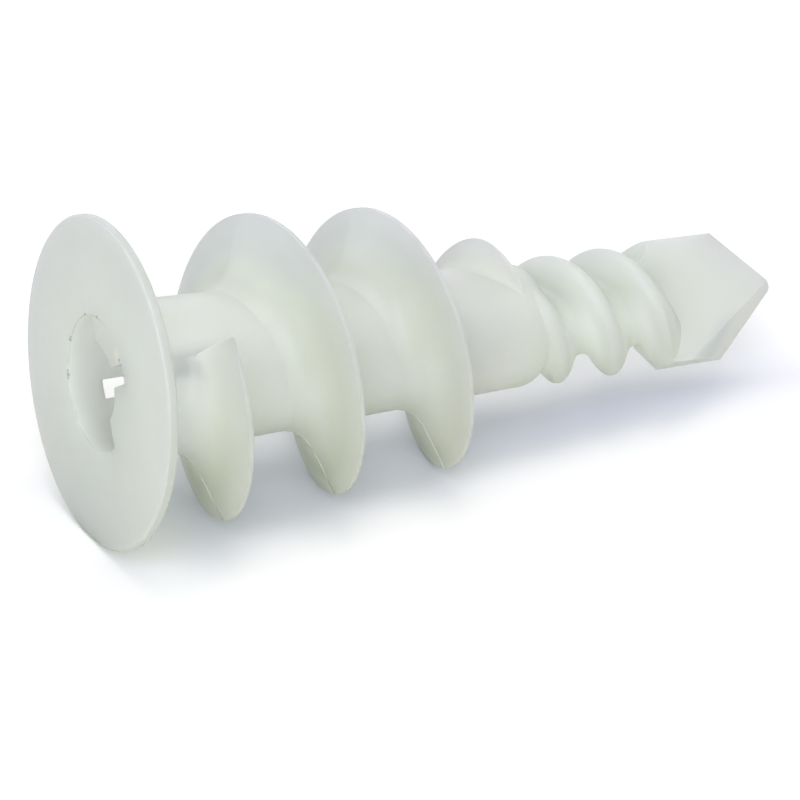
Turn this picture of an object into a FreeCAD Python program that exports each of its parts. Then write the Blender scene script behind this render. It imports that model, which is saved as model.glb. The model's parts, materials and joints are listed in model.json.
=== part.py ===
"""Self-drilling wall anchor, moulded in one piece of nylon.

The axis runs along +Z from the head to the drilling tip. The origin is the
centre of the head's front face, so the anchor stands on its head. Turns are
measured about the axis from the -Y side towards +X, which is also the way a
right-hand thread climbs. Sizes are millimetres and degrees.
"""
import FreeCAD, Part
import math
import os

# Head
HEAD_DIAMETER = 15.0
RIM_THICKNESS = 0.48
HEAD_CONE = 0.5
RIM_CHAMFER = 0.1
HEAD_FILLET = 0.5

# Shank, with the draft that lets it leave the mould
SHANK_DIAMETER = 7.14
SHANK_DRAFT = 1.95
SHANK_END = 21.75
SHOULDER_ROUND = 0.9
ROUND_CHORDS = 3

# Coarse thread: one deep fin, which starts blunt on the -Y side
LEAD = 5.66
THREAD_Z = 3.83
THREAD_START_TURN = -10.0
THREAD_FULL_TURN = 860.0
STUB_TURN = 950.0
STUB_END_TURN = 992.0
THREAD_END_TURN = 1080.0
THREAD_DIAMETER = 13.84
THREAD_TAPER = 4.0
STUB_DIAMETER = 8.4
CREST_LAND = 0.2
HEAD_FLANK = 16.0
TIP_FLANK = 9.0
HEAD_ROOT_FILLET = 1.3
TIP_ROOT_FILLET = 0.8
FILLET_CHORDS = 3
ROOT_SINK = 0.5
LEAD_IN_TURN = 10.5
LEAD_IN_SHARE = 0.3
LEAD_IN_SPREAD = 45.0

# The mould parts along X and Z. Before and after each parting line the fin's
# flanks swell, so that each half of the mould lets go of them
PARTING_TURN = 90.0
PARTING_FLANK = 4.5
PARTING_RISE = 32.0
PARTING_FALL = 70.0

# Drilling section: rounded ridges on a thin core, from the shank to the blade
CORE_DIAMETER = 3.5
RIDGE_DIAMETER = 6.0
RIDGE_BASE = 2.3
RIDGE_COUNT = 2
RIDGE_OVERLAP = 1.3
RIDGE_RISE_TURN = 60.0
RIDGE_WRAP_TURN = 15.0
NOSE_START = 27.9
NOSE_END = 28.6
NOSE_SHARE = 0.9

# Spade blade: flat, pointed, relieved behind each cutting edge
BLADE_TURN = 82.6
BLADE_ROOT = 27.5
BLADE_SHOULDER = 28.4
BLADE_CORNER = 31.7
TIP_Z = 34.75
BLADE_WIDTH = 5.78
BLADE_THICKNESS = 2.0
TIP_THICKNESS = 0.9
RELIEF_AT_CORNER = 1.3
RELIEF_AT_TIP = 0.5
CUTTING_EDGE = 0.25

# Driver recess in the head: a round pocket, with two lands left on the -Y side
RECESS_DIAMETER = 6.13
RECESS_DEPTH = 4.2
RECESS_TURN = -5.0
DRIVER_BORE_DIAMETER = 3.8
WING_WIDTH = 1.5
SLOT_WIDTH = 0.9
WINDOW_Z = 1.65
WINDOW_LENGTH = 1.25

# Bore that the screw cuts its thread in
BORE_DIAMETER = 2.8
BORE_END = 20.6
BORE_POINT = 118.0

# Steps of the curves that follow the threads, and how far cuts run out
TURN_STEP = 15.0
RIDGE_POINTS = 9
RIDGE_SINK = 0.15
CUT_MARGIN = 1.0


def at(radius, turn, z):
    """Return the point at a radius, a turn from the -Y side and a height."""
    angle = math.radians(turn)
    return FreeCAD.Vector(radius * math.sin(angle), -radius * math.cos(angle), z)


def ease(value, start, end):
    """Return 0 before start, 1 after end and a smooth rise between them."""
    share = min(1.0, max(0.0, (value - start) / (end - start)))
    return share * share * (3.0 - 2.0 * share)


def shank_radius(z):
    """Return the shank's radius at a height, as its draft leaves it."""
    return SHANK_DIAMETER / 2 - z * math.tan(math.radians(SHANK_DRAFT))


def turned(shape, turn):
    """Return a shape turned about the axis."""
    copy = shape.copy()
    copy.rotate(FreeCAD.Vector(), FreeCAD.Vector(0, 0, 1), turn)
    return copy


def rounded_outline(corners):
    """Join (radius, z, rounding) corners by lines, each corner turned in a
    few chords of its rounding."""
    outline = []
    for index, (radius, z, rounding) in enumerate(corners):
        corner = FreeCAD.Vector(radius, 0, z)
        if rounding == 0:
            outline.append(corner)
            continue
        before = corners[index - 1]
        after = corners[(index + 1) % len(corners)]
        back = (FreeCAD.Vector(before[0], 0, before[1]) - corner).normalize()
        ahead = (FreeCAD.Vector(after[0], 0, after[1]) - corner).normalize()
        half = back.getAngle(ahead) / 2
        centre = corner + (back + ahead).normalize() * (rounding / math.sin(half))
        start = corner + back * (rounding / math.tan(half)) - centre
        axis = start.cross(corner + ahead * (rounding / math.tan(half)) - centre)
        for step in range(ROUND_CHORDS + 1):
            turn = (180 - 2 * math.degrees(half)) * step / ROUND_CHORDS
            outline.append(centre + FreeCAD.Rotation(axis, turn).multVec(start))
    return Part.Face(Part.makePolygon(outline + outline[:1]))


def turned_body():
    """Revolve the head, the shank and the core of the drilling section."""
    rim = HEAD_DIAMETER / 2
    core = CORE_DIAMETER / 2
    neck_z = RIM_THICKNESS + HEAD_CONE
    nose = BLADE_THICKNESS / 2 * NOSE_SHARE
    corners = [
        (0, 0, 0),
        (rim - RIM_CHAMFER, 0, 0),
        (rim, RIM_CHAMFER, 0),
        (rim, RIM_THICKNESS - RIM_CHAMFER, 0),
        (rim - RIM_CHAMFER, RIM_THICKNESS, 0),
        (shank_radius(neck_z), neck_z, HEAD_FILLET),
        (shank_radius(SHANK_END), SHANK_END, SHOULDER_ROUND),
        (core, SHANK_END, 0),
        (core, NOSE_START, 0),
        (nose, NOSE_END, 0),
        (0, NOSE_END, 0),
    ]
    face = rounded_outline(corners)
    return face.revolve(FreeCAD.Vector(), FreeCAD.Vector(0, 0, 1), 360)


def helix_z(turn):
    """Return the height of the coarse thread's crest at a turn."""
    return THREAD_Z + LEAD * turn / 360


def crest_radius(turn):
    """Return the coarse thread's crest radius: full, then a stub, then gone."""
    z = helix_z(turn)
    full = THREAD_DIAMETER / 2 - (z - THREAD_Z) * math.tan(math.radians(THREAD_TAPER))
    gone = shank_radius(z) - ROOT_SINK / 2
    radius = full + (STUB_DIAMETER / 2 - full) * ease(turn, THREAD_FULL_TURN, STUB_TURN)
    return radius + (gone - radius) * ease(turn, STUB_END_TURN, THREAD_END_TURN)


def swelling(turn):
    """Return how far a flank swells at a turn: it rises to each parting line
    and falls off behind it."""
    behind = (turn - PARTING_TURN) % 180
    rise = max(0.0, 1 - (180 - behind) / PARTING_RISE)
    fall = max(0.0, 1 - behind / PARTING_FALL)
    return max(rise * rise, fall * fall)


def flank_points(z, side, crest, flank, share, fillet):
    """Return the (radius, z) points of half a fin section, from its sunk root
    over a root fillet and a straight flank to the crest's edge. Side is -1
    towards the head and 1 towards the tip."""
    slope = math.tan(math.radians(flank)) * share
    height = crest - shank_radius(z)
    shank = shank_radius(z + side * (height * slope + fillet * share))
    foot = min(shank, crest - CREST_LAND / 2)
    tilt = math.atan(slope)
    room = (crest - foot) / (1 - math.sin(tilt))
    fillet = min(fillet * share, room * 0.8)
    middle = foot + fillet
    middle_offset = CREST_LAND / 2 + (crest - middle) * slope + fillet / math.cos(tilt)
    points = [(shank - ROOT_SINK, z + side * middle_offset)]
    for step in range(FILLET_CHORDS + 1):
        angle = math.pi / 2 + (tilt - math.pi / 2) * step / FILLET_CHORDS
        radius = middle - fillet * math.sin(angle)
        offset = middle_offset - fillet * math.cos(angle)
        points.append((radius, z + side * offset))
    return points + [(crest, z + side * CREST_LAND / 2)]


def fin_section(turn):
    """Return the fin's section at a turn, from its head-side root round to
    its tip-side root. The head side starts thin and spreads over the first
    part of a turn."""
    z = helix_z(turn)
    crest = crest_radius(turn)
    spread = ease(turn, THREAD_START_TURN, THREAD_START_TURN + LEAD_IN_SPREAD)
    share = LEAD_IN_SHARE + (1 - LEAD_IN_SHARE) * spread
    head_flank = HEAD_FLANK + PARTING_FLANK * swelling(turn)
    tip_flank = TIP_FLANK + PARTING_FLANK * swelling(2 * PARTING_TURN - turn)
    head = flank_points(z, -1, crest, head_flank, share, HEAD_ROOT_FILLET)
    tip = flank_points(z, 1, crest, tip_flank, 1, TIP_ROOT_FILLET)
    return [at(radius, turn, height) for radius, height in head + tip[::-1]]


def spaced(start, end):
    """Return even turns from start to end, about TURN_STEP apart."""
    steps = math.ceil((end - start) / TURN_STEP)
    return [start + (end - start) * step / steps for step in range(steps + 1)]


def band(poles, knots, multiplicities, degree):
    """Return the face ruled between two curves that share their knots."""
    surface = Part.BSplineSurface()
    ends = [[2, 2], [0.0, 1.0]]
    surface.buildFromPolesMultsKnots(
        poles, multiplicities, ends[0], knots, ends[1], False, False, degree, 1
    )
    return surface.toShape()


def closed(faces):
    """Sew faces into one solid with its outside outwards."""
    skin = Part.Compound(faces)
    skin.sewShape()
    solid = Part.Solid(skin.Shells[0])
    if solid.Volume < 0:
        solid.reverse()
    return solid


def block_beyond(corner, second, third, outwards):
    """Return a block with one side on the plane of three points, which lies
    on the side of that plane that outwards points to."""
    normal = (second - corner).cross(third - corner).normalize()
    if normal.dot(outwards) < 0:
        normal = normal * -1
    reach = THREAD_DIAMETER / 2
    block = Part.makeBox(reach, reach, LEAD / 2)
    block.translate(FreeCAD.Vector(-reach / 2, -reach / 2, 0))
    rotation = FreeCAD.Rotation(FreeCAD.Vector(0, 0, 1), normal)
    middle = (corner + second + third) / 3
    block.Placement = FreeCAD.Placement(middle, rotation).multiply(block.Placement)
    return block


def skinned(runs):
    """Skin runs of closed sections, given as points, with ruled bands and end
    caps. Each run is smooth, and it meets the next at a crease."""
    faces = []
    for sections in runs:
        curves = []
        for points in zip(*sections):
            curve = Part.BSplineCurve()
            steps = [float(step) for step in range(len(points))]
            curve.interpolate(Points=list(points), Parameters=steps)
            curves.append(curve)
        for index, curve in enumerate(curves):
            other = curves[(index + 1) % len(curves)]
            poles = [list(pair) for pair in zip(curve.getPoles(), other.getPoles())]
            knots = curve.getKnots()
            faces.append(band(poles, knots, curve.getMultiplicities(), curve.Degree))
    for section in (runs[0][0], runs[-1][-1]):
        faces.append(Part.Face(Part.makePolygon(section + section[:1])))
    return closed(faces)


def coarse_thread():
    """Make the deep fin, creased at each parting line, and slice its blunt
    start to a wedge."""
    ends = [THREAD_START_TURN]
    crease = PARTING_TURN
    while crease < THREAD_END_TURN - TURN_STEP:
        ends.append(crease)
        crease += 180
    ends.append(THREAD_END_TURN)
    runs = []
    for start, end in zip(ends, ends[1:]):
        runs.append([fin_section(turn) for turn in spaced(start, end)])
    return skinned(runs).cut(lead_in_block())


def lead_in_block():
    """Return the block that slices the fin's start from its head side, as far
    as the line from the fin's root to where its crest starts."""
    start = THREAD_START_TURN
    front = start + LEAD_IN_TURN
    back = start + LEAD_IN_TURN / 4
    land = CREST_LAND / 2
    root = (fin_section(start)[0] + fin_section(start)[1]) / 2
    crest_back = at(crest_radius(back), back, helix_z(back) + land)
    crest_front = at(crest_radius(front), front, helix_z(front) - land)
    along = crest_front - root
    aside = (crest_back - crest_front).normalize() * (THREAD_DIAMETER / 2)
    ends = [root - along, crest_front + along]
    corners = [ends[0], ends[1], ends[1] + aside, ends[0] + aside]
    face = Part.Face(Part.makePolygon(corners + corners[:1]))
    normal = along.cross(aside).normalize()
    if normal.dot(at(1, start - 90, -1)) < 0:
        normal = normal * -1
    return face.extrude(normal * (LEAD / 2))


def ridge_section(turn, end_turn, height):
    """Return a ridge's section: a cosine hump, its feet sunk in the core."""
    z = BLADE_SHOULDER + LEAD * (turn - end_turn) / 360
    points = []
    for step in range(RIDGE_POINTS):
        across = (2 * step / (RIDGE_POINTS - 1) - 1) * (1 + RIDGE_SINK)
        radius = CORE_DIAMETER / 2 + height * math.cos(math.pi * across / 2)
        points.append(at(radius, turn, z + across * RIDGE_BASE / 2))
    return points


def ridge():
    """Make one rounded ridge, from the shank's shoulder to the blade's edge."""
    blade = BLADE_TURN + 360
    climb = BLADE_SHOULDER - SHANK_END + RIDGE_OVERLAP
    start = blade - 360 * climb / LEAD
    full = (RIDGE_DIAMETER - CORE_DIAMETER) / 2
    sunk = shank_radius(SHANK_END) - CORE_DIAMETER / 2 - RIDGE_SINK
    sections = []
    for turn in spaced(start, blade + RIDGE_WRAP_TURN):
        height = sunk + (full - sunk) * ease(turn, start, start + RIDGE_RISE_TURN)
        sections.append(ridge_section(turn, blade, height))
    return skinned([sections])


def extruded(corners, axes, depth, direction):
    """Extrude a polygon given in two of the axes, centred on its plane."""
    points = []
    for pair in corners:
        point = FreeCAD.Vector()
        for axis, value in zip(axes, pair):
            setattr(point, axis, value)
        points.append(point - direction * (depth / 2))
    face = Part.Face(Part.makePolygon(points + points[:1]))
    return face.extrude(direction * depth)


def blade():
    """Make the spade: its outline, thinned to the tip, with two reliefs."""
    half = BLADE_WIDTH / 2
    core = CORE_DIAMETER / 2
    outline = [
        (-core, BLADE_ROOT),
        (core, BLADE_ROOT),
        (half, BLADE_SHOULDER),
        (half, BLADE_CORNER),
        (0, TIP_Z),
        (-half, BLADE_CORNER),
        (-half, BLADE_SHOULDER),
    ]
    thick = BLADE_THICKNESS / 2
    thin = TIP_THICKNESS / 2
    side = [
        (-thick, BLADE_ROOT),
        (thick, BLADE_ROOT),
        (thick, BLADE_SHOULDER),
        (thin, TIP_Z),
        (-thin, TIP_Z),
        (-thick, BLADE_SHOULDER),
    ]
    face_on = extruded(outline, "xz", BLADE_THICKNESS, FreeCAD.Vector(0, 1, 0))
    edge_on = extruded(side, "yz", BLADE_WIDTH, FreeCAD.Vector(1, 0, 0))
    spade = face_on.common(edge_on)
    relief = relief_block()
    spade = spade.cut([relief, turned(relief, 180)])
    return turned(spade, BLADE_TURN - 90)


def relief_block():
    """Return the block that relieves the +X cutting edge on the -Y face."""
    half = BLADE_WIDTH / 2
    length = math.hypot(half, TIP_Z - BLADE_CORNER)
    inwards = FreeCAD.Vector(BLADE_CORNER - TIP_Z, 0, -half) / length
    corner = FreeCAD.Vector(half, 0, BLADE_CORNER)
    tip = FreeCAD.Vector(0, 0, TIP_Z)
    slope = (BLADE_THICKNESS - TIP_THICKNESS) / 2 / (TIP_Z - BLADE_SHOULDER)
    lines = []
    for end, width in ((corner, RELIEF_AT_CORNER), (tip, RELIEF_AT_TIP)):
        point = end + inwards * width
        point.y = -TIP_THICKNESS / 2 - (TIP_Z - point.z) * slope
        lines.append(point)
    edge = (corner + tip) / 2
    edge.y = TIP_THICKNESS / 2 + (TIP_Z - edge.z) * slope - CUTTING_EDGE
    return block_beyond(lines[0], lines[1], edge, FreeCAD.Vector(1, -1, 0))


def recess():
    """Cut tool of the driver recess: pocket, bore, slot and side window."""
    radius = RECESS_DIAMETER / 2
    wing = WING_WIDTH / 2
    slot = SLOT_WIDTH / 2
    pocket = Part.makeCylinder(radius, RECESS_DEPTH)
    open_side = Part.makeBox(2 * radius, radius + wing, RECESS_DEPTH)
    open_side.translate(FreeCAD.Vector(-radius, -wing, 0))
    slot_box = Part.makeBox(SLOT_WIDTH, radius, RECESS_DEPTH)
    slot_box.translate(FreeCAD.Vector(-slot, -radius, 0))
    plan = open_side.fuse(slot_box)
    middle = Part.makeCylinder(DRIVER_BORE_DIAMETER / 2, RECESS_DEPTH)
    window = Part.makeBox(SLOT_WIDTH, SHANK_DIAMETER / 2 + CUT_MARGIN, WINDOW_LENGTH)
    window.translate(FreeCAD.Vector(-slot, 0, WINDOW_Z))
    tool = pocket.common(plan).fuse([middle, window])
    return turned(tool, RECESS_TURN)


def screw_bore():
    """Cut tool of the bore, with the pointed end that its core pin leaves."""
    radius = BORE_DIAMETER / 2
    point = radius / math.tan(math.radians(BORE_POINT / 2))
    straight = Part.makeCylinder(radius, BORE_END - point)
    end = Part.makeCone(radius, 0, point, FreeCAD.Vector(0, 0, BORE_END - point))
    return straight.fuse(end)


def main():
    """Build the anchor and write its solid."""
    os.makedirs("parts", exist_ok=True)
    first = ridge()
    ridges = [turned(first, 360 * index / RIDGE_COUNT) for index in range(RIDGE_COUNT)]
    anchor = turned_body()
    for piece in ridges + [blade(), coarse_thread()]:
        anchor = anchor.fuse(piece)
    for tool in (recess(), screw_bore()):
        anchor = anchor.cut(tool)
    anchor = anchor.removeSplitter()
    solid = anchor.Solids[0]
    print("solids", len(anchor.Solids), "valid", solid.isValid(), "mm3", round(solid.Volume, 1))
    solid.exportStep("parts/anchor_body.step")


if __name__ == "__main__":
    main()
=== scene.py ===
"""The wall anchor's looks: clouded nylon with painted light and shade, grime in the recess, mould
lines with a painted highlight, and the studio with a painted floor shadow.
"""

import json
import logging
import math
from dataclasses import dataclass, field
from enum import Enum

import bpy
from mathutils import Matrix, Vector

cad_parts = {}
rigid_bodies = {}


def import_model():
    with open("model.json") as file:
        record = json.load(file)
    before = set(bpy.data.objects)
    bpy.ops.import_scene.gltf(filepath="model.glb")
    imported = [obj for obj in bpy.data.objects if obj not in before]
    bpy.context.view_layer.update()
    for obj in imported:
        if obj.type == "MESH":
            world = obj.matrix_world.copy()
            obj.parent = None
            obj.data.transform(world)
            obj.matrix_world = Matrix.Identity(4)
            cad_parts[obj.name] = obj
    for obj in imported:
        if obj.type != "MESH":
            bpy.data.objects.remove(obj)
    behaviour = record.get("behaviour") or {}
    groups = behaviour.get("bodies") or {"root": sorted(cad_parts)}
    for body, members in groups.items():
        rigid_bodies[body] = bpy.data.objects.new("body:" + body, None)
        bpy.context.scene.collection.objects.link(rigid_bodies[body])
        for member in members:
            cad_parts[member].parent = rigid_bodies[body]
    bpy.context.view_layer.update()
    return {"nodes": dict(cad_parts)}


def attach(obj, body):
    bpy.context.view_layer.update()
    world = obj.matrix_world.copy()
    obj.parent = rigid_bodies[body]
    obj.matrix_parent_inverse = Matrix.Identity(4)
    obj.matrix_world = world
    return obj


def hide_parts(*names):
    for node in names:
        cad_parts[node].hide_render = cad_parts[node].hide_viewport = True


LOG = logging.getLogger("anchor")
MM = 0.001
Colour = tuple[float, float, float]
Band = tuple[float, float]


class Node(Enum):
    """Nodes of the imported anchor."""

    BODY = "anchor_body"


class Finish(Enum):
    """Names of the materials."""

    NYLON = "clouded_nylon"
    FLASH = "nylon_flash"
    FLOOR = "studio_floor"


def deselect() -> None:
    """Deselect every object, so that an operator acts on one piece only."""
    if bpy.context.object and bpy.context.object.mode != "OBJECT":
        bpy.ops.object.mode_set(mode="OBJECT")
    bpy.ops.object.select_all(action="DESELECT")


def pick(piece: bpy.types.Object) -> bpy.types.Object:
    """Select one object alone and make it active.

    Args:
        piece: The object.

    Returns:
        The same object.
    """
    deselect()
    piece.select_set(True)
    bpy.context.view_layer.objects.active = piece
    return piece


def linear(red: float, green: float, blue: float) -> Colour:
    """Turn a screen colour of 0 to 255 into the shader's linear colour.

    Args:
        red: Red on the screen.
        green: Green on the screen.
        blue: Blue on the screen.

    Returns:
        The linear colour.
    """
    shares = [value / 255 for value in (red, green, blue)]
    return tuple(s / 12.92 if s <= 0.04045 else ((s + 0.055) / 1.055) ** 2.4 for s in shares)


class Shader:
    """A material's node tree, with short calls to add and link nodes."""

    def __init__(self, tree: bpy.types.NodeTree) -> None:
        """Keep the tree.

        Args:
            tree: The node tree to build in.
        """
        self.tree = tree

    def add(self, kind: str, **inputs: object) -> bpy.types.Node:
        """Add a node and set its inputs.

        Args:
            kind: The node's type, without the leading ShaderNode.
            inputs: Values or sockets by input name, with underscores for spaces.

        Returns:
            The node.
        """
        node = self.tree.nodes.new("ShaderNode" + kind)
        for name, value in inputs.items():
            self.feed(node.inputs[name.replace("_", " ")], value)
        return node

    def feed(self, socket: bpy.types.NodeSocket, value: object) -> None:
        """Set a socket to a value, or link another socket to it.

        Args:
            socket: The input.
            value: A number, a colour or an output socket.
        """
        if isinstance(value, bpy.types.NodeSocket):
            self.tree.links.new(value, socket)
        elif isinstance(value, tuple) and len(value) == 3 and socket.type == "RGBA":
            socket.default_value = (*value, 1.0)
        else:
            socket.default_value = value

    def math(self, operation: str, first: object, second: object = 0.0) -> bpy.types.NodeSocket:
        """Add a Math node.

        Args:
            operation: The operation's name.
            first: The first operand.
            second: The second operand.

        Returns:
            The result's socket.
        """
        node = self.add("Math")
        node.operation = operation
        self.feed(node.inputs[0], first)
        self.feed(node.inputs[1], second)
        return node.outputs[0]

    def group(self, tree: bpy.types.NodeTree, **inputs: object) -> bpy.types.Node:
        """Add a node group and set its inputs.

        Args:
            tree: The group's tree.
            inputs: Values or sockets by input name.

        Returns:
            The group's node.
        """
        node = self.tree.nodes.new("ShaderNodeGroup")
        node.node_tree = tree
        for name, value in inputs.items():
            self.feed(node.inputs[name], value)
        return node

    def ramp(self, value: object, low: float, high: float) -> bpy.types.NodeSocket:
        """Map a value to a smooth mask from 0 at low to 1 at high.

        Args:
            value: The value's socket.
            low: Where the mask starts.
            high: Where the mask is full.

        Returns:
            The mask's socket.
        """
        node = self.add("MapRange", Value=value, From_Min=low, From_Max=high)
        node.interpolation_type = "SMOOTHSTEP"
        return node.outputs[0]

    def blend(self, mask: object, first: object, second: object) -> bpy.types.NodeSocket:
        """Mix two colours by a mask.

        Args:
            mask: The mask.
            first: The colour where the mask is 0.
            second: The colour where the mask is 1.

        Returns:
            The mixed colour's socket.
        """
        node = self.tree.nodes.new("ShaderNodeMix")
        node.data_type = "RGBA"
        self.feed(node.inputs[0], mask)
        self.feed(node.inputs[6], first)
        self.feed(node.inputs[7], second)
        return node.outputs[2]


def around_axis(shader: Shader, parts: bpy.types.Node) -> bpy.types.NodeSocket:
    """Measure how far a point is from the anchor's axis.

    Args:
        shader: The material's tree.
        parts: The point's three coordinates, as a Separate XYZ node.

    Returns:
        The distance's socket.
    """
    across = shader.math("MULTIPLY", parts.outputs[0], parts.outputs[0])
    along = shader.math("MULTIPLY", parts.outputs[1], parts.outputs[1])
    return shader.math("SQRT", shader.math("ADD", across, along))


def moulded_grain() -> bpy.types.NodeTree:
    """Make the effect that the body and the flash share: a mould's faint grain.

    Returns:
        The node group, with the sockets Place, Grain and Strength in, Tone and Normal out.
    """
    group = bpy.data.node_groups.new("moulded_grain", "ShaderNodeTree")
    group.interface.new_socket("Place", in_out="INPUT", socket_type="NodeSocketVector")
    group.interface.new_socket("Grain", in_out="INPUT", socket_type="NodeSocketFloat")
    group.interface.new_socket("Strength", in_out="INPUT", socket_type="NodeSocketFloat")
    group.interface.new_socket("Tone", in_out="OUTPUT", socket_type="NodeSocketFloat")
    group.interface.new_socket("Normal", in_out="OUTPUT", socket_type="NodeSocketVector")
    given = group.nodes.new("NodeGroupInput")
    result = group.nodes.new("NodeGroupOutput")
    shader = Shader(group)
    grain = shader.add(
        "TexNoise", Vector=given.outputs["Place"], Scale=given.outputs["Grain"], Detail=5.0
    )
    bump = shader.add(
        "Bump", Strength=given.outputs["Strength"], Distance=0.05 * MM, Height=grain.outputs[0]
    )
    shader.feed(result.inputs["Tone"], grain.outputs[0])
    shader.feed(result.inputs["Normal"], bump.outputs[0])
    return group


@dataclass(frozen=True)
class Speck:
    """A speck of dirt on the driver recess's edge."""

    turn: float
    radius: float
    size: float
    core_share: float = 0.2

    def point(self) -> Vector:
        """Return the speck's place on the head's face."""
        angle = math.radians(self.turn)
        return Vector((math.sin(angle), -math.cos(angle), 0)) * self.radius

    def mask(self, shader: Shader, place: bpy.types.NodeSocket) -> bpy.types.NodeSocket:
        """Make the speck's mask.

        Args:
            shader: The material's tree.
            place: The surface point, shifted so that the speck's edge is ragged.

        Returns:
            The mask's socket.
        """
        gap = shader.add("VectorMath", Vector=place)
        gap.operation = "DISTANCE"
        gap.inputs[1].default_value = self.point()
        return shader.ramp(gap.outputs["Value"], self.size, self.size * self.core_share)


@dataclass(frozen=True)
class Grime:
    """Dirt that sits in the driver recess: dark specks on its edge and two pale stains."""

    dark: Colour = linear(108, 112, 100)
    tan: Colour = linear(225, 224, 204)
    dark_share: float = 0.65
    tan_share: float = 0.8
    line_share: float = 0.3
    line_radius: float = 3.06 * MM
    line_width: Band = (0.05 * MM, 0.01 * MM)
    line_depth: Band = (0.14 * MM, 0.04 * MM)
    far_side: Band = (0.6 * MM, 2.2 * MM)
    upper_side: Band = (-1.6 * MM, -2.8 * MM)
    gap_scale: float = 700.0
    gap_band: Band = (0.35, 0.6)
    ragged_scale: float = 9000.0
    ragged_reach: float = 0.12 * MM
    specks: tuple[Speck, ...] = (
        Speck(-93, 3.08 * MM, 0.15 * MM),
        Speck(-69, 3.09 * MM, 0.12 * MM),
        Speck(-134, 3.08 * MM, 0.11 * MM),
        Speck(-137, 3.08 * MM, 0.13 * MM),
        Speck(-166, 3.06 * MM, 0.10 * MM),
        Speck(-169, 3.06 * MM, 0.15 * MM),
        Speck(-172, 3.07 * MM, 0.10 * MM),
        Speck(-17, 2.98 * MM, 0.12 * MM),
        Speck(-3, 3.10 * MM, 0.14 * MM),
    )
    stains: tuple[Speck, ...] = (
        Speck(-22, 2.85 * MM, 0.5 * MM),
        Speck(-1, 3.12 * MM, 0.3 * MM),
    )

    def over(self, shader: Shader, place: object, colour: object) -> bpy.types.NodeSocket:
        """Lay the dirt over a colour.

        Args:
            shader: The material's tree.
            place: The surface point.
            colour: The clean colour.

        Returns:
            The dirty colour's socket.
        """
        ragged = self.ragged(shader, place)
        colour = shader.blend(self.line(shader, place), colour, self.dark)
        layers = (
            (self.stains, self.tan, self.tan_share),
            (self.specks, self.dark, self.dark_share),
        )
        for spots, paint, share in layers:
            masks = [spot.mask(shader, ragged) for spot in spots]
            total = masks[0]
            for mask in masks[1:]:
                total = shader.math("MAXIMUM", total, mask)
            colour = shader.blend(shader.math("MULTIPLY", total, share), colour, paint)
        return colour

    def ragged(self, shader: Shader, place: object) -> bpy.types.NodeSocket:
        """Shift a point by a fine noise, so that what is measured from it has ragged edges.

        Args:
            shader: The material's tree.
            place: The surface point.

        Returns:
            The shifted point's socket.
        """
        noise = shader.add("TexNoise", Vector=place, Scale=self.ragged_scale, Detail=3.0)
        shift = shader.add("VectorMath", Vector=noise.outputs["Color"])
        shift.operation = "SCALE"
        shift.inputs["Scale"].default_value = self.ragged_reach
        moved = shader.add("VectorMath", Vector=place)
        shader.feed(moved.inputs[1], shift.outputs[0])
        centred = shader.add("VectorMath", Vector=moved.outputs[0])
        centred.inputs[1].default_value = Vector((-1, -1, -1)) * self.ragged_reach / 2
        return centred.outputs[0]

    def line(self, shader: Shader, place: object) -> bpy.types.NodeSocket:
        """Make the broken line of dirt that lies along the recess's edge.

        Args:
            shader: The material's tree.
            place: The surface point.

        Returns:
            The mask's socket.
        """
        parts = shader.add("SeparateXYZ", Vector=place)
        radius = around_axis(shader, parts)
        near = shader.math("ABSOLUTE", shader.math("SUBTRACT", radius, self.line_radius))
        edge = shader.ramp(near, *self.line_width)
        front = shader.ramp(parts.outputs[2], *self.line_depth)
        side = shader.ramp(parts.outputs[1], *self.far_side)
        corner = shader.ramp(parts.outputs[0], *self.upper_side)
        broken = shader.add("TexNoise", Vector=place, Scale=self.gap_scale, Detail=2.0)
        gaps = shader.ramp(broken.outputs[0], *self.gap_band)
        mask = shader.math("MULTIPLY", shader.math("MULTIPLY", edge, front), gaps)
        mask = shader.math("MULTIPLY", mask, shader.math("MAXIMUM", side, corner))
        return shader.math("MULTIPLY", mask, self.line_share)


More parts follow.
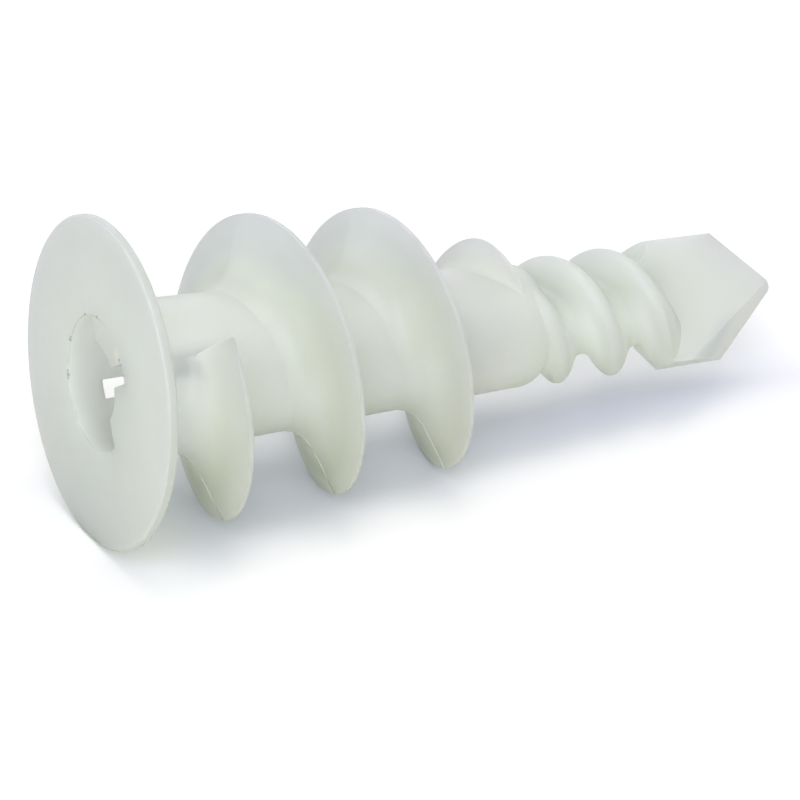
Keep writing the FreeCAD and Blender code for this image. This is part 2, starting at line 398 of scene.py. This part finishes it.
@dataclass(frozen=True)
class Nylon:
    """Undyed nylon: pale, clouded, with light that travels some way inside, and painted light and
    shade in its colour.
    """

    thick: Colour = linear(220, 225, 212)
    # painted light: the shank is lighter on its lower side, where shade falls
    thick_painted_light_below: Colour = linear(235, 240, 228)
    # painted light: lighter still beside the head, between head and fin, where shade falls
    neck_painted_light: Colour = linear(244, 249, 237)
    # painted light in the driver recess: lighter from the mouth to deep inside, where shade falls
    mouth_painted_light: Colour = linear(219, 224, 213)
    pocket_painted_light: Colour = linear(245, 250, 238)
    face: Colour = linear(211, 216, 207)
    thin: Colour = linear(202, 208, 194)
    # painted light and shade on the fins: bluer on top, darker and yellower below
    fin_painted_light_above: Colour = linear(199, 205, 200)
    fin_painted_shade_below: Colour = linear(194, 200, 182)
    ridges: Colour = linear(204, 210, 201)
    # painted light in the hollows between the drilling ridges
    valley_painted_light: Colour = linear(229, 234, 226)
    tip: Colour = linear(212, 217, 209)
    # painted shade: the head's rim band is darker than the face
    rim_painted_shade: Colour = linear(190, 196, 185)
    cutting_edge: Colour = linear(194, 200, 202)
    rim_painted_shade_from: Band = (7.3 * MM, 7.46 * MM)
    behind_face: Band = (0.02 * MM, 0.12 * MM)
    fin_from: Band = (3.6 * MM, 5.6 * MM)
    # bands of the fins' painted light and shade
    fin_painted_light_beside_head: Band = (4.4 * MM, 2.4 * MM)
    fin_painted_light_top: Band = (-1.5 * MM, -4.0 * MM)
    fin_painted_shade_side: Band = (3.2 * MM, 5.5 * MM)
    fin_painted_shade_from: Band = (6.0 * MM, 9.0 * MM)
    # bands of the painted light on the shank's lower side and beside the head
    neck_painted_light_reach: Band = (5.5 * MM, 3.0 * MM)
    neck_painted_light_side: Band = (-2.5 * MM, 0.0)
    shank_painted_light_side: Band = (0.0, 2.5 * MM)
    recess_wall: Band = (3.2 * MM, 3.1 * MM)
    recess_end: Band = (5.0 * MM, 4.3 * MM)
    # depths over which the recess's painted light grows
    recess_painted_light_depth: Band = (0.2 * MM, 2.6 * MM)
    ridges_from: Band = (19.0 * MM, 23.0 * MM)
    blade_from: Band = (27.5 * MM, 29.5 * MM)
    # bands of the painted light in the ridges' hollows
    valley_painted_light_radius: Band = (2.9 * MM, 2.3 * MM)
    valley_painted_light_side: Band = (-1.2 * MM, 0.8 * MM)
    relief_width: Band = (1.9 * MM, 1.0 * MM)
    relief_side: Band = (-0.4 * MM * MM, -1.4 * MM * MM)
    tip_height: float = 34.75 * MM
    corner_place: tuple[float, float] = (2.89 * MM, 31.7 * MM)
    cloud_scale: float = 180.0
    cloud_band: Band = (0.35, 0.7)
    cloud_share: float = 0.96
    grain_scale: float = 1400.0
    grain_strength: float = 0.12
    roughness: float = 0.34
    roughness_spread: float = 0.16
    scatter: Colour = (1.0, 1.0, 0.86)
    depth: float = 6.0 * MM
    ior: float = 1.53
    grime: Grime = Grime()

    def build(self, grain: bpy.types.NodeTree) -> bpy.types.Material:
        """Make the material.

        Args:
            grain: The node group of the mould's grain.

        Returns:
            The nylon.
        """
        material = bpy.data.materials.new(Finish.NYLON.value)
        material.use_nodes = True
        shader = Shader(material.node_tree)
        surface = material.node_tree.nodes["Principled BSDF"]
        place = shader.add("TexCoord").outputs["Object"]
        clean = self.clouded(shader, place, self.toned(shader, place))
        shader.feed(surface.inputs["Base Color"], self.grime.over(shader, place, clean))
        skin = shader.group(
            grain, Place=place, Grain=self.grain_scale, Strength=self.grain_strength
        )
        rough = shader.math("MULTIPLY", skin.outputs["Tone"], self.roughness_spread)
        rough = shader.math("ADD", rough, self.roughness)
        shader.feed(surface.inputs["Roughness"], rough)
        shader.feed(surface.inputs["Normal"], skin.outputs["Normal"])
        surface.inputs["Subsurface Weight"].default_value = 1.0
        surface.inputs["Subsurface Radius"].default_value = self.scatter
        surface.inputs["Subsurface Scale"].default_value = self.depth
        surface.inputs["IOR"].default_value = self.ior
        return material

    def toned(self, shader: Shader, place: object) -> bpy.types.NodeSocket:
        """Make the plain colour: milky where the plastic is thick, greener in the fins and tip,
        with painted light and shade on the shank, fins, recess, ridges and rim.

        Args:
            shader: The material's tree.
            place: The surface point.

        Returns:
            The colour's socket.
        """
        parts = shader.add("SeparateXYZ", Vector=place)
        radius = around_axis(shader, parts)
        behind = shader.ramp(parts.outputs[2], *self.behind_face)
        outer = shader.ramp(radius, *self.fin_from)
        colour = shader.blend(outer, self.core(shader, parts), self.fin(shader, parts))
        colour = shader.blend(behind, self.face, colour)
        inside = shader.math("MULTIPLY", self.inside(shader, parts, radius), behind)
        # painted light in the driver recess, lighter deeper in
        painted_light_deeper = shader.ramp(parts.outputs[2], *self.recess_painted_light_depth)
        colour = shader.blend(inside, colour, shader.blend(painted_light_deeper, self.mouth_painted_light, self.pocket_painted_light))
        tip = shader.ramp(parts.outputs[2], *self.ridges_from)
        colour = shader.blend(tip, colour, self.drilling(shader, parts, radius))
        colour = shader.blend(self.relieved(shader, parts), colour, self.cutting_edge)
        # painted shade on the head's rim band
        edge = shader.math("MULTIPLY", shader.ramp(radius, *self.rim_painted_shade_from), behind)
        return shader.blend(edge, colour, self.rim_painted_shade)

    def core(self, shader: Shader, parts: bpy.types.Node) -> bpy.types.NodeSocket:
        """Make the shank's colour, with painted light on its lower side and, lighter still, on the
        lower side beside the head, where shade falls.

        Args:
            shader: The material's tree.
            parts: The point's three coordinates, as a Separate XYZ node.

        Returns:
            The colour's socket.
        """
        # painted light: the shank grows lighter on its lower side
        below = shader.ramp(parts.outputs[0], *self.shank_painted_light_side)
        shank = shader.blend(below, self.thick, self.thick_painted_light_below)
        # painted light: lighter again on the lower side beside the head
        below = shader.ramp(parts.outputs[0], *self.neck_painted_light_side)
        neck_painted_light = shader.blend(below, self.thick, self.neck_painted_light)
        return shader.blend(shader.ramp(parts.outputs[2], *self.neck_painted_light_reach), shank, neck_painted_light)

    def fin(self, shader: Shader, parts: bpy.types.Node) -> bpy.types.NodeSocket:
        """Make the fin's colour, with painted light and shade: bluer on top, darker and yellower
        below, lighter beside the head.

        Args:
            shader: The material's tree.
            parts: The point's three coordinates, as a Separate XYZ node.

        Returns:
            The colour's socket.
        """
        # painted bluish light on the fins' upper side
        painted_light_above = shader.ramp(parts.outputs[0], *self.fin_painted_light_top)
        # painted shade: darker and yellower on the fins' lower side, past the first turn
        low = shader.ramp(parts.outputs[0], *self.fin_painted_shade_side)
        painted_shade_past = shader.ramp(parts.outputs[2], *self.fin_painted_shade_from)
        low = shader.math("MULTIPLY", low, painted_shade_past)
        fin = shader.blend(painted_light_above, self.thin, self.fin_painted_light_above)
        fin = shader.blend(low, fin, self.fin_painted_shade_below)
        # painted light: the fins are lighter beside the head
        return shader.blend(shader.ramp(parts.outputs[2], *self.fin_painted_light_beside_head), fin, self.neck_painted_light)

    def inside(
        self, shader: Shader, parts: bpy.types.Node, radius: bpy.types.NodeSocket
    ) -> bpy.types.NodeSocket:
        """Make the mask of the driver recess.

        Args:
            shader: The material's tree.
            parts: The point's three coordinates, as a Separate XYZ node.
            radius: The point's distance from the axis.

        Returns:
            The mask's socket.
        """
        wall = shader.ramp(radius, *self.recess_wall)
        return shader.math("MULTIPLY", wall, shader.ramp(parts.outputs[2], *self.recess_end))

    def drilling(
        self, shader: Shader, parts: bpy.types.Node, radius: bpy.types.NodeSocket
    ) -> bpy.types.NodeSocket:
        """Make the colour of the drilling ridges, with painted light in their hollows on the lower
        side, and of the blade.

        Args:
            shader: The material's tree.
            parts: The point's three coordinates, as a Separate XYZ node.
            radius: The point's distance from the axis.

        Returns:
            The colour's socket.
        """
        # painted light in the hollows between the ridges, on the lower side
        painted_light_hollow = shader.ramp(radius, *self.valley_painted_light_radius)
        below = shader.ramp(parts.outputs[0], *self.valley_painted_light_side)
        painted_light_hollow = shader.math("MULTIPLY", painted_light_hollow, below)
        turns = shader.blend(painted_light_hollow, self.ridges, self.valley_painted_light)
        return shader.blend(shader.ramp(parts.outputs[2], *self.blade_from), turns, self.tip)

    def relieved(self, shader: Shader, parts: bpy.types.Node) -> bpy.types.NodeSocket:
        """Make the mask of the thin plastic along the blade's two cutting edges.

        Args:
            shader: The material's tree.
            parts: The point's three coordinates, as a Separate XYZ node.

        Returns:
            The mask's socket.
        """
        rise = self.tip_height - self.corner_place[1]
        length = math.hypot(self.corner_place[0], rise)
        below = shader.math("SUBTRACT", self.tip_height, parts.outputs[2])
        below = shader.math("MULTIPLY", below, self.corner_place[0] / length)
        aside = shader.math("ABSOLUTE", parts.outputs[0])
        aside = shader.math("MULTIPLY", aside, rise / length)
        depth = shader.math("SUBTRACT", below, aside)
        facing = shader.math("MULTIPLY", parts.outputs[0], parts.outputs[1])
        side = shader.ramp(facing, *self.relief_side)
        return shader.math("MULTIPLY", shader.ramp(depth, *self.relief_width), side)

    def clouded(self, shader: Shader, place: object, colour: object) -> bpy.types.NodeSocket:
        """Cloud a colour with soft, slightly darker patches.

        Args:
            shader: The material's tree.
            place: The surface point.
            colour: The plain colour.

        Returns:
            The clouded colour's socket.
        """
        clouds = shader.add("TexNoise", Vector=place, Scale=self.cloud_scale, Detail=3.0)
        mask = shader.ramp(clouds.outputs[0], *self.cloud_band)
        darker = shader.add("VectorMath", Vector=colour)
        darker.operation = "SCALE"
        darker.inputs["Scale"].default_value = self.cloud_share
        return shader.blend(mask, colour, darker.outputs[0])


@dataclass(frozen=True)
class FlashNylonPaintedHighlight:
    """The thin flash of the mould line, clearer and paler than the body, its pale colour partly a
    painted highlight along the ridge.
    """

    # pale colour: the flash's own tone with a painted highlight along the ridge
    colour: Colour = linear(240, 242, 230)
    dull_share: float = 0.9
    grain_scale: float = 1500.0
    grain_strength: float = 0.3
    roughness: float = 0.35

    def build(self, grain: bpy.types.NodeTree) -> bpy.types.Material:
        """Make the material.

        Args:
            grain: The node group of the mould's grain.

        Returns:
            The flash's nylon.
        """
        material = bpy.data.materials.new(Finish.FLASH.value)
        material.use_nodes = True
        shader = Shader(material.node_tree)
        surface = material.node_tree.nodes["Principled BSDF"]
        place = shader.add("TexCoord").outputs["Object"]
        skin = shader.group(
            grain, Place=place, Grain=self.grain_scale, Strength=self.grain_strength
        )
        dull = tuple(value * self.dull_share for value in self.colour)
        tone = shader.blend(skin.outputs["Tone"], self.colour, dull)
        shader.feed(surface.inputs["Base Color"], tone)
        shader.feed(surface.inputs["Normal"], skin.outputs["Normal"])
        surface.inputs["Roughness"].default_value = self.roughness
        return material


@dataclass
class Anchor:
    """The moulded anchor: its body with smooth faces, and the flash where the mould parts."""

    node: bpy.types.Object
    nylon: Nylon = field(default_factory=Nylon)
    flash_nylon_painted_highlight: FlashNylonPaintedHighlight = field(default_factory=FlashNylonPaintedHighlight)
    grain: bpy.types.NodeTree = field(default_factory=moulded_grain)
    crease_angle: float = math.radians(34)
    flash_radius: float = 0.024 * MM
    fin_from: float = 2.2 * MM
    fin_to: float = 20.8 * MM
    ridges_to: float = 27.5 * MM
    root_height: float = 1.5 * MM
    root_sink: float = 0.2 * MM
    bore_clearance: float = 1.5 * MM
    soft_cuts: int = 2
    soft_factor: float = 0.5
    soft_rounds: int = 5
    merge_gap: float = 0.0004 * MM
    shank_radius: float = 3.62 * MM
    shank_draft: float = math.tan(math.radians(1.95))

    def build(self) -> list[bpy.types.Object]:
        """Build the body and the flash.

        Returns:
            Both pieces.
        """
        return [self.body(), self.flash()]

    def copied(self, name: str) -> bpy.types.Object:
        """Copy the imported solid's mesh and merge its loose triangles.

        Args:
            name: The copy's name.

        Returns:
            The copy.
        """
        mesh = self.node.data.copy()
        mesh.materials.clear()
        piece = bpy.data.objects.new(name, mesh)
        bpy.context.scene.collection.objects.link(piece)
        pick(piece)
        bpy.ops.object.mode_set(mode="EDIT")
        bpy.ops.mesh.select_all(action="SELECT")
        bpy.ops.mesh.remove_doubles(threshold=self.merge_gap)
        bpy.ops.mesh.customdata_custom_splitnormals_clear()
        bpy.ops.object.mode_set(mode="OBJECT")
        return piece

    def body(self) -> bpy.types.Object:
        """Make the shown body: the solid's shape, shaded smooth between its true edges.

        Returns:
            The body.
        """
        body = self.copied("moulded_body")
        self.soften(body)
        bpy.ops.object.shade_smooth_by_angle(angle=self.crease_angle)
        body.data.materials.append(self.nylon.build(self.grain))
        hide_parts(Node.BODY.value)
        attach(body, "root")
        return body

    def soften(self, body: bpy.types.Object) -> None:
        """Blend the thread's root and the drilling ridges softly into the shank.

        Args:
            body: The shown body.
        """
        bpy.ops.object.mode_set(mode="EDIT")
        bpy.ops.mesh.select_mode(type="VERT")
        bpy.ops.mesh.select_all(action="DESELECT")
        bpy.ops.object.mode_set(mode="OBJECT")
        for vertex in body.data.vertices:
            height = vertex.co.z
            radius = math.hypot(vertex.co.x, vertex.co.y)
            rise = radius - self.shank_reach(height)
            on_root = -self.root_sink < rise < self.root_height
            on_root = on_root and self.fin_from < height < self.fin_to
            on_ridges = self.fin_to <= height < self.ridges_to and radius > self.bore_clearance
            vertex.select = on_root or on_ridges
        bpy.ops.object.mode_set(mode="EDIT")
        bpy.ops.mesh.subdivide(number_cuts=self.soft_cuts)
        bpy.ops.mesh.select_less()
        bpy.ops.mesh.vertices_smooth(factor=self.soft_factor, repeat=self.soft_rounds)
        bpy.ops.object.mode_set(mode="OBJECT")

    def shank_reach(self, height: float) -> float:
        """Return the shank's radius at a height, with a little to spare."""
        return self.shank_radius - height * self.shank_draft

    def flash(self) -> bpy.types.Object:
        """Make the thin flash where the mould parts, along the thread's flanks.

        Returns:
            The flash.
        """
        flash = self.copied("mould_line_flash")
        bpy.ops.object.mode_set(mode="EDIT")
        bpy.ops.mesh.select_all(action="SELECT")
        bpy.ops.mesh.bisect(
            plane_co=(0, 0, 0), plane_no=(0, 1, 0), clear_inner=True, clear_outer=True
        )
        bpy.ops.mesh.select_all(action="DESELECT")
        bpy.ops.object.mode_set(mode="OBJECT")
        for vertex in flash.data.vertices:
            on_fin = self.fin_from < vertex.co.z < self.fin_to
            vertex.select = not (on_fin and vertex.co.x > self.shank_reach(vertex.co.z))
        bpy.ops.object.mode_set(mode="EDIT")
        bpy.ops.mesh.delete(type="VERT")
        bpy.ops.object.mode_set(mode="OBJECT")
        bpy.ops.object.convert(target="CURVE")
        flash.data.bevel_depth = self.flash_radius
        flash.data.bevel_resolution = 1
        flash.data.use_fill_caps = True
        bpy.ops.object.convert(target="MESH")
        bpy.ops.object.shade_smooth()
        flash.data.materials.clear()
        flash.data.materials.append(self.flash_nylon_painted_highlight.build(self.grain))
        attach(flash, "root")
        return flash


@dataclass(frozen=True)
class Lamp:
    """A square lamp, placed from the anchor's middle: up, to the right and away."""

    name: str
    up: float
    right: float
    away: float
    power: float
    side: float
    colour: Colour

    def hang(self, middle: Vector, axes: tuple[Vector, Vector, Vector]) -> None:
        """Hang the lamp so that it looks at the anchor's middle.

        Args:
            middle: The anchor's middle.
            axes: The ways up, to the right and away from the camera.
        """
        place = axes[0] * self.up + axes[1] * self.right + axes[2] * self.away
        data = bpy.data.lights.new(self.name, "AREA")
        data.energy = self.power
        data.size = self.side
        data.color = self.colour
        lamp = bpy.data.objects.new(self.name, data)
        lamp.location = middle + place
        lamp.rotation_mode = "QUATERNION"
        lamp.rotation_quaternion = (-place).to_track_quat("-Z", "Y")
        bpy.context.scene.collection.objects.link(lamp)


@dataclass
class Studio:
    """White floor under the lying anchor, soft lamps, a white surround and the camera."""

    camera_place: tuple[float, float, float] = (0.0, -0.21772, -0.09427)
    camera_forward: tuple[float, float, float] = (0.0109, 0.89419, 0.44755)
    camera_down: tuple[float, float, float] = (0.99013, 0.0529, -0.12981)
    focal_pixels: float = 5378.7
    picture_pixels: float = 800.0
    floor_up: tuple[float, float, float] = (-0.88754, -0.45241, -0.08713)
    floor_drop: float = 7.48 * MM
    floor_size: float = 1.2
    middle: tuple[float, float, float] = (0.0, 0.0, 17 * MM)
    # where the painted shadow lies on the floor
    shadow_foot: tuple[float, float, float] = (0.0, 0.0, 17.6 * MM)
    shadow_shift: float = 2 * MM
    shadow_ends: Band = (14.5 * MM, 19.5 * MM)
    shadow_front: Band = (0.8 * MM, 6.4 * MM)
    shadow_back: Band = (-8 * MM, -13 * MM)
    shadow_skew: float = 0.12
    # painted shadow: the floor glows less near the anchor than far from it
    glow: Colour = (0.04, 0.046, 0.064)
    far_glow: Colour = (0.22, 0.22, 0.20)
    floor_colour: Colour = (0.93, 0.93, 0.94)
    bounce_colour: Colour = (0.80, 0.80, 0.72)
    lamps: tuple[Lamp, ...] = (
        Lamp("overhead", 0.5, 0.0, 0.0, 0.74, 0.5, (1.0, 0.96, 0.76)),
        Lamp("overhead_small", 0.5, 0.0, 0.0, 0.52, 0.2, (1.0, 0.95, 0.97)),
        Lamp("high_left", 0.38, -0.38, 0.0, 0.16, 0.4, (0.9, 1.0, 0.8)),
        Lamp("high_right", 0.38, 0.38, 0.0, 0.57, 0.4, (0.9, 0.94, 1.0)),
        Lamp("high_back", 0.38, 0.0, 0.38, 0.48, 0.4, (0.8, 0.83, 1.0)),
        Lamp("left", 0.1, -0.5, 0.0, 1.02, 0.4, (0.8, 0.87, 1.0)),
        Lamp("front", 0.12, 0.0, -0.52, 1.72, 0.4, (0.76, 0.77, 1.0)),
        Lamp("low_front", -0.3, 0.0, -0.42, 2.45, 0.4, (0.96, 1.0, 0.78)),
    )

    def build(self) -> None:
        """Make the floor, the lamps, the surround and the camera."""
        self.floor()
        self.light()
        self.surround()
        self.camera()

    def floor(self) -> bpy.types.Object:
        """Make the floor that the anchor lies on in the picture.

        Returns:
            The floor.
        """
        deselect()
        up = Vector(self.floor_up).normalized()
        place = self.on_floor(Vector(self.middle))
        bpy.ops.mesh.primitive_plane_add(size=self.floor_size)
        floor = bpy.context.object
        floor.name = "studio_floor"
        turn = up.to_track_quat("Z", "Y").to_matrix().to_4x4()
        floor.data.transform(Matrix.Translation(place) @ turn)
        floor.data.materials.append(self.floor_material())
        return floor

    def on_floor(self, point: Vector) -> Vector:
        """Return the floor's point straight under a point."""
        up = Vector(self.floor_up).normalized()
        return point - up * (point.dot(up) + self.floor_drop)

    def floor_material(self) -> bpy.types.Material:
        """Make the floor's paper: it takes the shadow and glows for the camera, glowing less
        around the anchor, which paints a shadow there on top of the cast one.

        Returns:
            The paper.
        """
        material = bpy.data.materials.new(Finish.FLOOR.value)
        material.use_nodes = True
        nodes = material.node_tree.nodes
        nodes.remove(nodes["Principled BSDF"])
        shader = Shader(material.node_tree)
        path = shader.add("LightPath")
        direct = path.outputs["Is Camera Ray"]
        colour = shader.blend(direct, self.bounce_colour, self.floor_colour)
        paper = shader.add("BsdfDiffuse", Color=colour)
        seen = shader.math("MAXIMUM", path.outputs["Is Camera Ray"], path.outputs["Is Glossy Ray"])
        seen = shader.math("MAXIMUM", seen, path.outputs["Is Transmission Ray"])
        # painted shadow: weaker glow around the anchor, full glow beyond
        shine = shader.blend(self.away(shader), self.glow, self.far_glow)
        glow = shader.add("Emission", Color=shine, Strength=seen)
        both = shader.add("AddShader")
        shader.feed(both.inputs[0], paper.outputs[0])
        shader.feed(both.inputs[1], glow.outputs[0])
        clear = shader.add("BsdfTransparent")
        back = shader.add("NewGeometry").outputs["Backfacing"]
        sides = shader.add("MixShader", Fac=back)
        shader.feed(sides.inputs[1], both.outputs[0])
        shader.feed(sides.inputs[2], clear.outputs[0])
        shader.feed(nodes["Material Output"].inputs["Surface"], sides.outputs[0])
        return material

    def away(self, shader: Shader) -> bpy.types.NodeSocket:
        """Make the mask of the floor beyond the painted shadow around the anchor.

        Args:
            shader: The floor's tree.

        Returns:
            The mask's socket.
        """
        up = Vector(self.floor_up).normalized()
        along = (Vector((0, 0, 1)) - up * up.z).normalized()
        across = along.cross(up) + along * self.shadow_skew
        foot = self.on_floor(Vector(self.shadow_foot))
        place = shader.add("TexCoord").outputs["Object"]
        gaps = []
        for way in (along, across):
            reach = shader.add("VectorMath", Vector=place)
            reach.operation = "DOT_PRODUCT"
            reach.inputs[1].default_value = way
            gaps.append(shader.math("SUBTRACT", reach.outputs["Value"], foot.dot(way)))
        ends = shader.math("ABSOLUTE", shader.math("SUBTRACT", gaps[0], self.shadow_shift))
        ends = shader.ramp(ends, *self.shadow_ends)
        before = shader.ramp(gaps[1], *self.shadow_front)
        behind = shader.ramp(gaps[1], *self.shadow_back)
        return shader.math("MAXIMUM", ends, shader.math("MAXIMUM", before, behind))

    def light(self) -> None:
        """Hang the lamps."""
        up = Vector(self.floor_up).normalized()
        forward = Vector(self.camera_forward)
        right = Vector(self.camera_down).cross(forward)
        for lamp in self.lamps:
            lamp.hang(Vector(self.middle), (up, right, forward))

    def surround(self) -> None:
        """Make the world: white where the camera or a gloss sees it, and dark elsewhere."""
        world = bpy.data.worlds.new("surround")
        world.use_nodes = True
        bpy.context.scene.world = world
        shader = Shader(world.node_tree)
        path = shader.add("LightPath")
        seen = shader.math("MAXIMUM", path.outputs["Is Camera Ray"], path.outputs["Is Glossy Ray"])
        seen = shader.math("MAXIMUM", seen, path.outputs["Is Transmission Ray"])
        colour = shader.blend(seen, (0.0, 0.0, 0.0), (1.0, 1.0, 1.0))
        shader.feed(world.node_tree.nodes["Background"].inputs["Color"], colour)

    def camera(self) -> None:
        """Place the camera of the picture."""
        data = bpy.data.cameras.new("camera")
        data.sensor_width = 36.0
        data.lens = self.focal_pixels / self.picture_pixels * data.sensor_width
        data.clip_start = 0.01
        data.clip_end = 10.0
        camera = bpy.data.objects.new("camera", data)
        forward = Vector(self.camera_forward).normalized()
        down = Vector(self.camera_down)
        down = (down - forward * down.dot(forward)).normalized()
        right = down.cross(forward)
        turn = Matrix((right, -down, -forward)).transposed()
        camera.rotation_mode = "QUATERNION"
        camera.rotation_quaternion = turn.to_quaternion()
        camera.location = self.camera_place
        bpy.context.scene.collection.objects.link(camera)
        bpy.context.scene.camera = camera


def main() -> None:
    """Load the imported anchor, dress it and set up the studio."""
    logging.basicConfig(level=logging.INFO, format="%(name)s: %(message)s")
    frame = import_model()
    bpy.context.scene.view_settings.view_transform = "Standard"
    for piece in Anchor(frame["nodes"][Node.BODY.value]).build():
        LOG.info("built %s", piece.name)
    Studio().build()
    LOG.info("built the studio")


if __name__ == "__main__":
    main()
